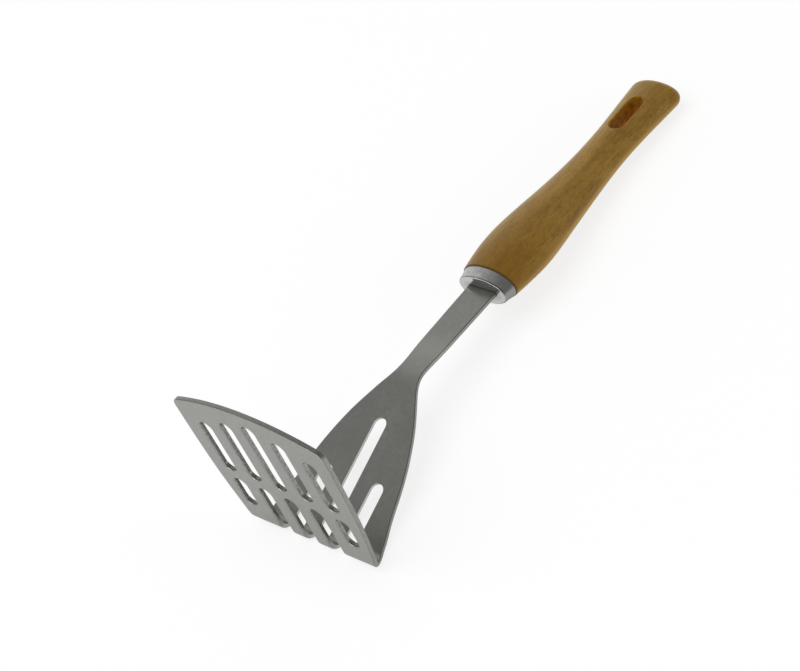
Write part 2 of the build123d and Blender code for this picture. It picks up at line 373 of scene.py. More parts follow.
def round_ended(first, last, across, wide, stops, end_points):
    """A round-ended loop about two centres, with stops along its straight sides."""
    turn = np.linspace(-math.pi / 2, math.pi / 2, end_points)
    right = [(last + wide * math.cos(a), across + wide * math.sin(a)) for a in turn]
    left = [(first - wide * math.cos(a), across - wide * math.sin(a)) for a in turn]
    top = [(s, across + wide) for s in reversed(stops)]
    low = [(s, across - wide) for s in stops]
    return np.array(right + top + left + low)


def oval(half_width, half_depth, count, rise=0.0):
    """Points round an oval as (across, front)."""
    turns = np.arange(count) * 2 * math.pi / count
    return np.stack([half_width * np.cos(turns), rise + half_depth * np.sin(turns)], 1)


def block(half_width, half_depth, count, corners):
    """Points round a rectangle with slightly rounded corners, matched in number to an oval."""
    circle = oval(1.0, 1.0, count)
    return np.sign(circle) * np.abs(circle) ** corners * (half_width, half_depth)


def stood(stand, along, across, front):
    """Points of the ferrule or handle, given as columns in its own frame, in their place."""
    columns = np.broadcast_arrays(along, across, front)
    return [tuple(stand @ Vector(point)) for point in np.stack(columns, 1)]


def loop_normals(loop):
    """Directions out of an anticlockwise loop, and how far each corner is drawn out."""
    edge = np.roll(loop, -1, 0) - loop
    edge /= np.linalg.norm(edge, axis=1)[:, None]
    before = np.roll(edge, 1, 0)
    normal = np.stack([edge[:, 1] + before[:, 1], -edge[:, 0] - before[:, 0]], 1)
    normal /= np.linalg.norm(normal, axis=1)[:, None]
    reach = 1 / np.clip(normal[:, 0] * edge[:, 1] - normal[:, 1] * edge[:, 0], 0.5, 1)
    return normal, reach[:, None]


def batches(points, size=2000):
    """Slices that keep the arrays of distances small."""
    return [slice(start, start + size) for start in range(0, len(points), size)]


def inside(points, loops):
    """Which points lie inside an odd number of the loops."""
    count = np.zeros(len(points), int)
    for loop in loops:
        ax, ay = loop.T
        bx, by = np.roll(loop, -1, 0).T
        for part in batches(points):
            px, py = points[part, 0, None], points[part, 1, None]
            crosses = (ay > py) != (by > py)
            with np.errstate(divide="ignore", invalid="ignore"):
                where = ax + (py - ay) * (bx - ax) / (by - ay)
            count[part] += (crosses & (px < where)).sum(1)
    return count % 2 == 1


def clear_of(points, loops, gap):
    """Points inside the first loop, outside the others and at least a gap from all of them."""
    points = points[inside(points, loops)]
    near = np.zeros(len(points), bool)
    for loop in loops:
        for part in batches(points):
            away = points[part, None, :] - loop[None, :, :]
            near[part] |= (away**2).sum(2).min(1) < gap**2
    return points[~near]


def fill(loops, extra=np.empty((0, 2))):
    """Triangles between the first loop and those inside it, over all their points and the extra ones."""
    points = np.concatenate([*loops, extra])
    edges = []
    start = 0
    for loop in loops:
        count = len(loop)
        edges += [(start + i, start + (i + 1) % count) for i in range(count)]
        start += count
    millimetres = [Vector(point) * 1000 for point in points]
    whole_hull, tolerance = 0, 1e-6
    _, _, faces, sources, _, _ = delaunay_2d_cdt(millimetres, edges, [], whole_hull, tolerance)
    triangles = np.array([[sources[i][0] for i in face] for face in faces])
    return triangles[inside(points[triangles].mean(1), loops)]


def mark_points(mesh, name, values):
    """Writes one number for each point of a mesh, for its material to read."""
    mesh.attributes.new(name, "FLOAT", "POINT").data.foreach_set("value", values)


class Shell:
    """Collects the points and faces of one closed piece, with two marks on each point."""

    def __init__(self):
        self.points = []
        self.marks = []
        self.sides = []
        self.faces = []

    def ring(self, points, mark=0.0, side=0.0):
        start = len(self.points)
        self.points += [tuple(p) for p in points]
        self.marks += [mark] * len(points)
        self.sides += [side] * len(points)
        return list(range(start, len(self.points)))

    def link(self, rings):
        """Bands of faces from each ring to the next."""
        for first, second in zip(rings, rings[1:]):
            count = len(first)
            for i in range(count):
                j = (i + 1) % count
                self.faces.append((first[i], first[j], second[j], second[i]))

    def patch(self, rings, triangles):
        ids = [i for ring in rings for i in ring]
        self.faces += [tuple(ids[i] for i in triangle) for triangle in triangles]

    def mesh(self, name, mark_name, side_name=None):
        mesh = bpy.data.meshes.new(name)
        mesh.from_pydata(self.points, [], self.faces)
        mark_points(mesh, mark_name, self.marks)
        if side_name:
            mark_points(mesh, side_name, self.sides)
        shape = bmesh.new()
        shape.from_mesh(mesh)
        bmesh.ops.recalc_face_normals(shape, faces=shape.faces)
        shape.to_mesh(mesh)
        shape.free()
        mesh.shade_smooth()
        return mesh


def new_object(name, data):
    made = bpy.data.objects.new(name, data)
    bpy.context.scene.collection.objects.link(made)
    return made


def settle(made, slot, *nodes):
    """Lets a finished piece ride on the masher and stand for its CAD nodes."""
    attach(made, "root")
    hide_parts(*nodes)


class Nodes:
    """A node tree under construction, with short ways to add its nodes."""

    def __init__(self, tree):
        self.tree = tree

    def put(self, value, socket):
        """Links an output to a socket, or gives the socket a plain value."""
        if isinstance(value, bpy.types.NodeSocket):
            self.tree.links.new(value, socket)
        elif socket.type == "RGBA":
            socket.default_value = (*value, 1.0)
        else:
            socket.default_value = value

    def add(self, kind, inputs=None, **options):
        """A new node with its options set and its inputs, by name or number, filled."""
        node = self.tree.nodes.new(kind)
        for name, value in options.items():
            setattr(node, name, value)
        for name, value in (inputs or {}).items():
            self.put(value, node.inputs[name])
        return node

    def math(self, kind, first, second):
        return self.add("ShaderNodeMath", {0: first, 1: second}, operation=kind).outputs[0]

    def times(self, first, second):
        return self.math("MULTIPLY", first, second)

    def vector(self, kind, inputs, output=0):
        return self.add("ShaderNodeVectorMath", inputs, operation=kind).outputs[output]

    def facing(self, way, direction):
        """Cosine between a varying and a fixed direction."""
        return self.vector("DOT_PRODUCT", {0: way, 1: direction}, "Value")

    def parts(self, source):
        """The X, Y and Z of a vector."""
        return self.add("ShaderNodeSeparateXYZ", {0: source}).outputs

    def remap(self, value, span, to=(0.0, 1.0), smooth=False):
        """Turns one span of numbers into another, and holds it at the ends."""
        inputs = dict(zip(("Value", "From Min", "From Max", "To Min", "To Max"), (value, *span, *to)))
        kind = "SMOOTHSTEP" if smooth else "LINEAR"
        return self.add("ShaderNodeMapRange", inputs, interpolation_type=kind).outputs[0]

    def between(self, part, first, second):
        """A number between two others."""
        return self.add("ShaderNodeMix", {0: part, 2: first, 3: second}).outputs[0]


# Values of the path that the bend reads, and their kinds
BEND_INPUTS = {
    **dict.fromkeys(("fold_start", "fold_length", "fold_turn"), "Float"),
    **dict.fromkeys(("neck_start", "neck_length", "neck_turn"), "Float"),
    "start_turn": "Float",
    "fold_centre": "Vector",
}


class Path:
    """The strip's line from the plate's front edge to the tang, and the frames along its shank."""

    def __init__(self, sheet):
        self.fold_start = 0.0
        self.fold_middle = sheet.fold_radius + sheet.thickness / 2
        self.fold_turn = math.pi - sheet.fold_opening
        self.fold_length = self.fold_middle * self.fold_turn
        self.neck_start = self.fold_length + sheet.blade_length
        self.neck_length = sheet.neck_radius * sheet.neck_turn
        self.neck_end = self.neck_start + self.neck_length
        self.neck_turn = sheet.neck_turn
        self.neck_radius = sheet.neck_radius
        self.start_turn = math.pi / 2 - sheet.rest_lean
        outer = sheet.fold_radius + sheet.thickness
        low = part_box("masher_head")[0]
        reach = outer * math.cos(sheet.rest_lean) + sheet.plate_length * math.sin(sheet.rest_lean)
        self.fold_centre = (low.x + reach, 0.0, low.z + outer)
        self.cap_place = self.neck_end + sheet.shank_length

    def turn(self, s):
        """How far the flat pattern is turned about Y at each place along the strip."""
        s = np.asarray(s, float)
        fold = np.clip(s / self.fold_length, 0, 1) * self.fold_turn
        neck = np.clip((s - self.neck_start) / self.neck_length, 0, 1) * self.neck_turn
        return self.start_turn - fold + neck

    def frame(self, s):
        """Matrix at a place on the shank, its x along the strip and its z to the front."""
        turned = Vector((s - self.neck_length, 0, self.neck_radius))
        turned = Matrix.Rotation(self.neck_turn, 3, "Y") @ (turned - Vector((self.neck_start, 0, 0)))
        place = turned + Vector((self.neck_start, 0, -self.neck_radius))
        place -= Vector((self.fold_length, 0, self.fold_middle))
        place = Matrix.Rotation(-self.fold_turn, 3, "Y") @ place
        place = Matrix.Rotation(self.start_turn, 3, "Y") @ place + Vector(self.fold_centre)
        spin = Matrix.Rotation(float(self.turn(s)), 4, "Y")
        return Matrix.Translation(place) @ spin


def bend_tree():
    """Geometry Nodes that bend a flat pattern round the fold and the neck and stand it in its place."""
    tree = bpy.data.node_groups.new("Bend the sheet", "GeometryNodeTree")
    kinds = {"geometry": "Geometry", **BEND_INPUTS, "material": "Material"}
    sockets = {}
    for name, kind in kinds.items():
        sockets[name] = tree.interface.new_socket(name, in_out="INPUT", socket_type=f"NodeSocket{kind}")
    tree.interface.new_socket("geometry", in_out="OUTPUT", socket_type="NodeSocketGeometry")
    n = Nodes(tree)
    given = n.add("NodeGroupInput").outputs

    def roll(point, centre, turn):
        inputs = {"Vector": point, "Center": centre, "Angle": turn}
        return n.add("ShaderNodeVectorRotate", inputs, rotation_type="Y_AXIS").outputs[0]

    def bend_at(point, name, side):
        """One bend: places past its start roll round a centre on the given side."""
        start, stretch, turn = (given[f"{name}_{size}"] for size in ("start", "length", "turn"))
        x, y, z = n.parts(point)
        part = n.remap(x, (start, n.math("ADD", start, stretch)))
        back = n.math("SUBTRACT", x, n.times(part, stretch))
        flat = n.add("ShaderNodeCombineXYZ", {"X": back, "Y": y, "Z": z}).outputs[0]
        radius = n.math("DIVIDE", stretch, turn)
        middle = {"X": start, "Z": n.times(radius, side)}
        centre = n.add("ShaderNodeCombineXYZ", middle).outputs[0]
        rolled = n.times(n.times(part, turn), -side)
        return roll(flat, centre, rolled), centre

    where = n.add("GeometryNodeInputPosition").outputs[0]
    point, _ = bend_at(where, "neck", -1.0)
    point, centre = bend_at(point, "fold", 1.0)
    point = roll(point, centre, given["start_turn"])
    shift = n.vector("SUBTRACT", {0: given["fold_centre"], 1: centre})
    moved = {"Geometry": given["geometry"], "Position": n.vector("ADD", {0: point, 1: shift})}
    geometry = n.add("GeometryNodeSetPosition", moved).outputs[0]
    geometry = n.add("GeometryNodeRealizeInstances", {"Geometry": geometry}).outputs[0]
    finished = {"Geometry": geometry, "Material": given["material"]}
    geometry = n.add("GeometryNodeSetMaterial", finished).outputs[0]
    n.add("NodeGroupOutput", {"geometry": geometry})
    return tree, sockets


def sheet_outline(sheet, path):
    """The flat pattern's outline, from the middle of the front edge round to the tang and back."""
    radius = sheet.front_radius
    corner = sheet.corner_radius
    half = sheet.plate_half_width
    centre_s = -sheet.plate_length + radius
    bow_y = half - corner
    bow_s = centre_s - math.sqrt((radius - corner) ** 2 - bow_y**2)
    tip = math.asin(bow_y / (radius - corner))
    sweep = np.linspace(0, tip, FRONT_POINTS)
    front = [(centre_s - radius * math.cos(a), radius * math.sin(a)) for a in sweep]
    sweep = np.linspace(tip, math.pi / 2, CORNER_POINTS)[1:]
    front += [(bow_s - corner * math.cos(a), bow_y + corner * math.sin(a)) for a in sweep]
    plate_s = [bow_s, *(-p for p in reversed(sheet.side_places))]
    plate_w = [half, *reversed(sheet.side_widths)]
    blade_s = [path.fold_length + p for p in sheet.blade_places]
    shank_s = [path.neck_end + p for p in sheet.shank_places]
    places = [*plate_s, *blade_s, *shank_s, path.cap_place]
    widths = [*plate_w, *sheet.blade_widths, *sheet.shank_widths, sheet.shank_half_width]
    stops = (bow_s, 0, path.fold_length, path.neck_start, path.neck_end, path.cap_place)
    stretches = zip(stops, stops[1:], OUTLINE_STEPS)
    at = np.concatenate([np.linspace(first, last, steps + 1)[1:] for first, last, steps in stretches])
    side = list(zip(at, smooth_line(places, widths, at)))
    shoulder = path.cap_place + sheet.tang_shoulder
    end = path.cap_place + sheet.tang_length
    tang = [(shoulder, sheet.shank_half_width), (shoulder, sheet.tang_half_width)]
    tang += [(s, sheet.tang_half_width) for s in np.linspace(shoulder, end, TANG_POINTS)[1:]]
    tang.append((end, 0.0))
    half_loop = np.array(front + side + tang)
    other = half_loop[-2:0:-1] * (1, -1)
    return np.concatenate([half_loop, other])[::-1]


def slot_places(slots, path):
    """Round-ended slots as (start, end, across) along the flat pattern."""
    rows = [slots.pitch * (i - 2) for i in range(5)]
    found = [(-end, -slots.far_start, y) for y, end in zip(rows, slots.far_ends)]
    found += [(-slots.near_end, -slots.near_start, y) for y in (rows[0], rows[4])]
    through = zip(rows[1:4], slots.blade_ends)
    return found + [(-slots.near_end, path.fold_length + end, y) for y, end in through]


def slot_loop(start, end, across, radius, grow, path):
    """Points round one slot, closer together where the sheet bends."""
    first, last = start + radius, end - radius
    stops = list(np.linspace(first, last, SIDE_POINTS))
    stops += [s for s in np.linspace(0, path.fold_length, FOLD_POINTS) if first < s < last]
    stops = np.array(sorted(set(round(s, 7) for s in stops)))
    keep = np.concatenate([[True], np.diff(stops) > NEAREST_POINTS])
    return round_ended(first, last, across, radius + grow, stops[keep][1:-1], SLOT_END_POINTS)


def bend_points(path):
    """Points inside the sheet's faces: close on the fold and the neck, wide on the flat parts."""
    fold = np.arange(-FOLD_STEP, path.fold_length + 1.2 * FOLD_STEP, FOLD_STEP)
    neck = np.arange(path.neck_start - BEND_LEAD, path.neck_end + 2 * BEND_LEAD, NECK_STEP)
    plate = np.arange(*PLATE_FLAT, FLAT_STEP)
    blade = np.arange(BLADE_FLAT_START, path.neck_start - BEND_LEAD, FLAT_STEP)
    zones = (
        (fold, spread(FOLD_SPREAD, FOLD_ACROSS)),
        (neck, spread(NECK_SPREAD, NECK_ACROSS)),
        (np.concatenate([plate, blade]), spread(FLAT_SPREAD, FLAT_STEP)),
    )
    return np.array([(s, y) for along, across in zones for s in along for y in across])


class MASHER_OT_sheet(bpy.types.Operator):
    """Cut, slot and fold the steel sheet"""

    bl_idname = "masher.sheet"
    bl_label = "Steel Sheet"

    def execute(self, context):
        settings = context.scene.masher
        path = Path(settings.sheet)
        shell, normals = self.cut(settings.sheet, settings.slots, path)
        flat = shell.mesh("steel_sheet_flat", "cut_edge", "cut_wall")
        along = np.array(shell.points)[:, 0]
        mark_points(flat, "blade_side", np.clip(along / path.fold_length, 0.0, 1.0))
        # Painted highlight on the shank above the neck bend, fading out both ways
        from_patch = (along - path.neck_end - settings.sheet.shank_highlight_place) / settings.sheet.shank_highlight_length
        mark_points(flat, "rubbed", np.exp(-(from_patch**2)))
        made = new_object("steel_sheet", flat)
        steel = steel_finish(settings.finishes)
        self.fold(context, made, path, steel)
        x, y, z = np.array(normals).T
        turn = path.turn(along)
        turned = np.stack(
            [x * np.cos(turn) + z * np.sin(turn), y, z * np.cos(turn) - x * np.sin(turn)], 1
        )
        turned /= np.linalg.norm(turned, axis=1)[:, None]
        made.data.normals_split_custom_set_from_vertices(turned)
        made.data.materials.clear()
        made.data.materials.append(steel)
        settle(made, "stainless_sheet", "masher_head")
        return {"FINISHED"}

    def cut(self, sheet, slots, path):
        """The flat pattern with its rounded edges, and the outward direction at each point."""
        half = sheet.thickness / 2
        outline = sheet_outline(sheet, path)
        out, reach = loop_normals(outline)
        places = slot_places(slots, path)
        shell = Shell()
        normals = []

        def rings(sign, turn, spare, mark):
            """One ring round the outline and each slot, at one turn of the rounded edges."""
            made, loops = [], []
            slot_edge = sheet.slot_sharp if sign > 0 else sheet.slot_round
            for place in (None, *places):
                edge = slot_edge if place else sheet.edge_round
                inset = edge * (1 - math.cos(turn)) + spare
                height = sign * (half - edge * (1 - math.sin(turn)))
                if place:
                    loop = slot_loop(*place, slots.width / 2, inset, path)
                    facing = -loop_normals(loop)[0]
                else:
                    loop = outline - out * reach * inset
                    facing = out
                wall = math.cos(turn) ** 2 * (1.0 if place else OUTLINE_WALL)
                made.append(shell.ring([(s, y, height) for s, y in loop], 0.0 if place else mark, wall))
                loops.append(loop)
                flat = math.cos(turn)
                normals.extend((x * flat, y * flat, math.sin(turn) * sign) for x, y in facing)
            return made, loops

        # Each level: side, turn, spare, and the share of painted shade on the outer edge's rounding,
        # strongest halfway round
        levels = [(1, SHEET_TURNS[-1], RIM_SPARE, 0.0)]
        levels += [(1, turn, 0.0, math.sin(2 * turn)) for turn in reversed(SHEET_TURNS)]
        levels += [(-1, turn, 0.0, math.sin(2 * turn)) for turn in SHEET_TURNS]
        levels += [(-1, SHEET_TURNS[-1], RIM_SPARE, 0.0)]
        stack = [rings(*level) for level in levels]
        for upper, lower in zip(stack, stack[1:]):
            for pair in zip(upper[0], lower[0]):
                shell.link(pair)
        loops = stack[-1][1]
        extra = clear_of(bend_points(path), loops, SHEET_GAP)
        triangles = fill(loops, extra)
        for level, sign in ((stack[0], 1), (stack[-1], -1)):
            inner = shell.ring([(s, y, sign * half) for s, y in extra])
            normals.extend([(0, 0, sign)] * len(extra))
            shell.patch([*level[0], inner], triangles)
        return shell, normals

    def fold(self, context, made, path, steel):
        """Bends the flat pattern with Geometry Nodes and keeps the bent mesh."""
        tree, sockets = bend_tree()
        modifier = made.modifiers.new("Bend", "NODES")
        modifier.node_group = tree
        for name in BEND_INPUTS:
            modifier[sockets[name].identifier] = getattr(path, name)
        modifier[sockets["material"].identifier] = steel
        bent = bpy.data.meshes.new_from_object(made.evaluated_get(context.evaluated_depsgraph_get()))
        bent.name = "steel_sheet"
        made.modifiers.clear()
        made.data = bent


class MASHER_OT_ferrule(bpy.types.Operator):
    """Press the ferrule, with its flat face, rounded rim and slot for the shank"""

    bl_idname = "masher.ferrule"
    bl_label = "Ferrule"

    def execute(self, context):
        settings = context.scene.masher
        sheet, cap = settings.sheet, settings.cap
        path = Path(sheet)
        stand = path.frame(path.cap_place)
        count = settings.ring_count
        end = np.array((cap.end_half_width, cap.end_half_depth))
        joint = np.array((cap.joint_half_width, cap.joint_half_depth))
        shell = Shell()

        def oval_ring(along, half, side=0.0):
            return shell.ring(stood(stand, along, *oval(*half, count).T), 0.0, side)

        def slot_ring(along, wider=0.0):
            gap = cap.clearance + wider
            section = block(sheet.shank_half_width + gap, sheet.thickness / 2 + gap, count, SLOT_CORNERS)
            return shell.ring(stood(stand, along, *section.T), 1.0)

        rim = cap.edge
        rings = [slot_ring(cap.floor)]
        rings += [slot_ring(cap.dish + deep, wider) for deep, wider in MOUTH_RINGS]
        rings += [oval_ring(cap.dish * deep, end - (rim + inset)) for inset, deep in DISH_RINGS]
        rings += [oval_ring(along, end - drawn, 1 - drawn / rim) for along, drawn in rounded(rim, RIM_TURNS)]
        for step in np.linspace(0, 1, FLARE_RINGS + 1)[1:]:
            along = rim + (cap.length - rim - LIP) * step
            rings.append(oval_ring(along, end + (joint - end) * step**FLARE_POWER, 1.0))
        rings.append(oval_ring(cap.length, joint - LIP, 1.0))
        rings += [oval_ring(along, joint - cap.wall) for along in (cap.length, cap.floor)]
        shell.link([*rings, rings[0]])
        mesh = shell.mesh("ferrule_cap", "slot_mark", "side_mark")
        mesh.set_sharp_from_angle(angle=math.radians(50))
        mesh.materials.append(cap_finish(settings.finishes))
        settle(new_object("ferrule_cap", mesh), "polished_cap", "ferrule")
        return {"FINISHED"}


class Carving:
    """The handle's surface, built up in rings from the mortise to the butt."""

    def __init__(self, settings):
        self.handle = settings.handle
        self.count = settings.ring_count
        path = Path(settings.sheet)
        self.stand = path.frame(path.cap_place + settings.cap.length)
        self.grip = self.handle.length - self.handle.butt_round
        self.hole_middle = self.handle.length - self.handle.hole_inset
        self.zone = (self.hole_middle - HOLE_ZONE, self.hole_middle + HOLE_ZONE)
        self.shell = Shell()

    def section(self, along):
        """Half width, half depth and rise of the middle at places along the handle."""
        handle = self.handle
        stations = [self.grip * p for p in handle.places]
        sizes = (handle.half_width, handle.half_depth, handle.half_depth)
        tables = (handle.widths, handle.depths, handle.bows)
        rows = [[size * v for v in table] for size, table in zip(sizes, tables)]
        return [smooth_line(stations, row, along) for row in rows]

    def flat_ring(self, along, section):
        return self.shell.ring(stood(self.stand, along, *section.T))

    def ring(self, along, drawn=0.0, at=None):
        """A ring round the handle, drawn in from its section there or at another place."""
        width, depth, rise = self.section(along if at is None else at)
        return self.flat_ring(along, oval(width - drawn, depth - drawn, self.count, rise))

    def hole_outline(self, grow):
        """The hang hole's outline as seen from the front, drawn outwards."""
        radius = self.handle.hole_width / 2
        reach = self.handle.hole_length / 2 - radius
        stops = np.linspace(-reach, reach, SIDE_POINTS)[1:-1]
        return round_ended(-reach, reach, 0.0, radius + grow, stops, HOLE_END_POINTS) + (self.hole_middle, 0)

    def hole_ring(self, grow, deep, front, mark=0.0):
        """A ring round the hang hole on the front or the back, sunk below the surface."""
        along, across = self.hole_outline(grow).T
        width, depth, rise = self.section(along)
        height = depth * np.sqrt(1 - (across / width) ** 2) - deep
        return self.shell.ring(stood(self.stand, along, across, rise + height * front), mark)

    def carve_grip(self, sheet, cap):
        """Mortise, tenon, the edge at the ferrule and the grip up to the zone of the hole."""
        handle, count = self.handle, self.count
        joint = np.array((cap.joint_half_width, cap.joint_half_depth))
        tenon = oval(*(joint - cap.wall - cap.clearance), count)
        bed_width = sheet.shank_half_width + handle.bed_side
        bed = block(bed_width, sheet.thickness / 2 + handle.bed_face, count, BED_CORNERS)
        mortise_end = sheet.tang_length - cap.length + handle.bed_face
        rings = [self.flat_ring(along, bed) for along in (mortise_end, -handle.tenon)]
        self.shell.patch(rings[:1], fill([bed]))
        rings += [self.flat_ring(along, tenon) for along in (-handle.tenon, -LIP)]
        rings.append(self.ring(0.0, FACE_INSET, 0.0))
        edge = handle.joint_round
        rings += [self.ring(along, drawn, edge) for along, drawn in rounded(edge, WOOD_TURNS)]
        rings += [self.ring(along) for along in np.linspace(edge + GRIP_START, self.zone[0], GRIP_RINGS)]
        self.shell.link(rings)
        return rings[-1]

    def carve_zone(self, start_ring):
        """The zone of the hole, filled in the plane of place and turn, and the hole's two outlines."""
        shell = self.shell
        scale = self.handle.half_width
        rows = np.linspace(*self.zone, ZONE_ROWS)
        end_ring = self.ring(self.zone[1])
        turns = np.arange(self.count + 1) * 2 * math.pi / self.count
        margin = self.handle.hole_round + HOLE_MARGIN
        holes, hole_rings = [], []
        for front in (1, -1):
            along, across = self.hole_outline(margin).T
            turn = np.arccos(across / self.section(along)[0])
            turn = turn if front == 1 else 2 * math.pi - turn
            holes.append(np.stack([along, turn * scale], 1))
            hole_rings.append(self.hole_ring(margin, 0.0, front))
        low_side = [(s, 0.0) for s in rows[1:-1]]
        high_side = [(s, 2 * math.pi * scale) for s in reversed(rows[1:-1])]
        near = [(self.zone[0], t * scale) for t in reversed(turns)]
        far = [(self.zone[1], t * scale) for t in turns]
        loops = [np.array(low_side + far + high_side + near), *holes]
        grid = np.array([(s, t * scale) for s in rows[1:-1] for t in turns[1:-1]])
        grid = clear_of(grid, loops, ZONE_GAP)
        triangles = fill(loops, grid)

        def surface_ring(points):
            along, across = np.array(points).T
            width, depth, rise = self.section(along)
            turn = across / scale
            return shell.ring(stood(self.stand, along, width * np.cos(turn), rise + depth * np.sin(turn)))

        seam = surface_ring(low_side)
        inner = surface_ring(grid)
        border = [*seam, *end_ring, end_ring[0], *seam[::-1], start_ring[0], *start_ring[::-1]]
        shell.patch([border, *hole_rings, inner], triangles)
        return end_ring, hole_rings

    def carve_hole(self, hole_rings):
        """Rounded rims and the walls of the hang hole."""
        shell = self.shell
        rims = []
        for front, ring in zip((1, -1), hole_rings):
            chain = [ring]
            marks = np.linspace(0, 1, len(WOOD_TURNS))
            for mark, (deep, grow) in zip(marks, rounded(self.handle.hole_round, WOOD_TURNS)):
                chain.append(self.hole_ring(grow, deep, front, mark))
            shell.link(chain)
            rims.append(chain[-1])
        front_points, back_points = (np.array([shell.points[i] for i in rim]) for rim in rims)
        chain = [rims[0]]
        for step in np.linspace(0, 1, WALL_RINGS + 1)[1:-1]:
            chain.append(shell.ring(front_points + (back_points - front_points) * step, 1.0))
        shell.link([*chain, rims[1]])

    def carve_butt(self, end_ring):
        """From the hole's zone to the rounded butt."""
        radius = self.handle.butt_round
        rings = [end_ring]
        rings += [self.ring(along) for along in np.linspace(self.zone[1], self.grip, BUTT_RINGS + 1)[1:]]
        for turn in BUTT_TURNS:
            drawn = radius * (1 - math.cos(turn))
            rings.append(self.ring(self.grip + radius * math.sin(turn), drawn, self.grip))
        self.shell.link(rings)
        width, depth, rise = self.section(self.grip)
        crown = oval(width - radius, depth - radius, self.count, rise)
        self.shell.patch(rings[-1:], fill([crown]))


class MASHER_OT_handle(bpy.types.Operator):
    """Carve the beech handle, with its tenon, mortise and hang hole"""

    bl_idname = "masher.handle"
    bl_label = "Beech Handle"

    def execute(self, context):
        settings = context.scene.masher
        work = Carving(settings)
        start_ring = work.carve_grip(settings.sheet, settings.cap)
        end_ring, hole_rings = work.carve_zone(start_ring)
        work.carve_hole(hole_rings)
        work.carve_butt(end_ring)
        mesh = work.shell.mesh("beech_handle", "bore")
        mesh.set_sharp_from_angle(angle=math.radians(55))
        mesh.materials.append(wood_finish(settings.finishes, work.stand))
        settle(new_object("beech_handle", mesh), "beech", "handle")
        return {"FINISHED"}


class MASHER_OT_resin(bpy.types.Operator):
    """Give the resin bed round the tang its finish"""

    bl_idname = "masher.resin"
    bl_label = "Tang Resin"

    def execute(self, context):
        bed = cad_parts["tang_resin"]
        bed.data.materials.clear()
        bed.data.materials.append(resin_finish(context.scene.masher.finishes))
        return {"FINISHED"}


def scaled(shade, factor):
    """A colour made brighter or darker."""
    return tuple(part * factor for part in shade)


class Finish(Nodes):
    """A material under construction."""

    def __init__(self, name):
        self.material = bpy.data.materials.new(name)
        self.material.use_nodes = True
        super().__init__(self.material.node_tree)
        self.shader = self.tree.nodes["Principled BSDF"]
        coordinates = self.add("ShaderNodeTexCoord")
        self.place = coordinates.outputs["Object"]
        self.outward = coordinates.outputs["Normal"]

    def noise(self, source, scale, detail=2.0, rough=0.5, warp=0.0):
        """Noise with one scale, or with its own scale along each axis."""
        if isinstance(scale, tuple):
            source = self.add("ShaderNodeMapping", {"Vector": source, "Scale": scale}).outputs[0]
            scale = 1.0
        inputs = {"Vector": source, "Scale": scale, "Detail": detail, "Roughness": rough, "Distortion": warp}
        return self.add("ShaderNodeTexNoise", inputs).outputs["Fac"]

    def mix(self, part, first, second, kind="MIX"):
        inputs = {0: part, 6: first, 7: second}
        return self.add("ShaderNodeMix", inputs, data_type="RGBA", blend_type=kind).outputs[2]

    def mark(self, name):
        return self.add("ShaderNodeAttribute", attribute_name=name).outputs["Fac"]

    def bump(self, height, strength, distance, **more):
        inputs = {"Strength": strength, "Distance": distance, "Height": height, **more}
        return self.add("ShaderNodeBump", inputs).outputs[0]

    def set(self, **values):
        for name, value in values.items():
            self.put(value, self.shader.inputs[name.replace("_", " ")])


def steel_finish(finishes):
    """Tumbled stainless steel: a fine satin with soft clouds and torn slot walls, with a painted shade line
    along the outer edges, a painted reflection of the floor on the blade's slot walls and a painted
    highlight on the shank above the neck.
    """
    f = Finish("tumbled_steel")
    steel = finishes.steel
    fine = f.noise(f.place, 2600.0, detail=2.0, rough=0.6)
    cloud = f.noise(f.place, 70.0, detail=3.0, rough=0.55, warp=0.3)
    blotch = f.noise(f.place, 520.0, detail=1.5, rough=0.6)
    torn = f.noise(f.place, 900.0, detail=1.5, rough=0.6)
    clouds = (0.3, 0.7)
    shade = f.mix(f.remap(cloud, clouds), scaled(steel, 0.92), scaled(steel, 1.08))
    shade = f.mix(f.remap(blotch, (0.35, 0.70), (0.0, 0.6)), shade, scaled(steel, 0.84))
    # Painted shade: a dark line along the rounding of the sheet's outer edges
    shade = f.mix(f.times(f.mark("cut_edge"), 0.8), shade, scaled(steel, 0.6))
    wall = f.mark("cut_wall")
    on_blade = f.mark("blade_side")
    on_plate = f.remap(on_blade, (0.0, 1.0), (1.0, 0.0))
    torn_wall = f.mix(f.remap(torn, (0.38, 0.62)), scaled(steel, 0.74), scaled(steel, 1.2))
    shade = f.mix(f.times(wall, on_plate), shade, torn_wall)
    # Painted reflection: the blade's slot walls are made bright, like the pale floor mirrored in them
    slot_only = f.remap(wall, (OUTLINE_WALL, 1.0))
    shade = f.mix(f.times(slot_only, on_blade), shade, finishes.blade_wall_painted_reflection)
    # Painted highlight: the shank is made lighter above the neck bend, in soft clouds
    rubbed = f.times(f.mark("rubbed"), f.remap(cloud, clouds, (0.7, 1.0)))
    shade = f.mix(rubbed, shade, scaled(steel, 1.16))
    grain = f.bump(fine, strength=0.03, distance=0.00008)
    wave = f.bump(blotch, strength=0.05, distance=0.0003, Normal=grain)
    f.set(Base_Color=shade, Metallic=1.0, Roughness=f.remap(cloud, clouds, (0.28, 0.34)), Normal=wave)
    return f.material


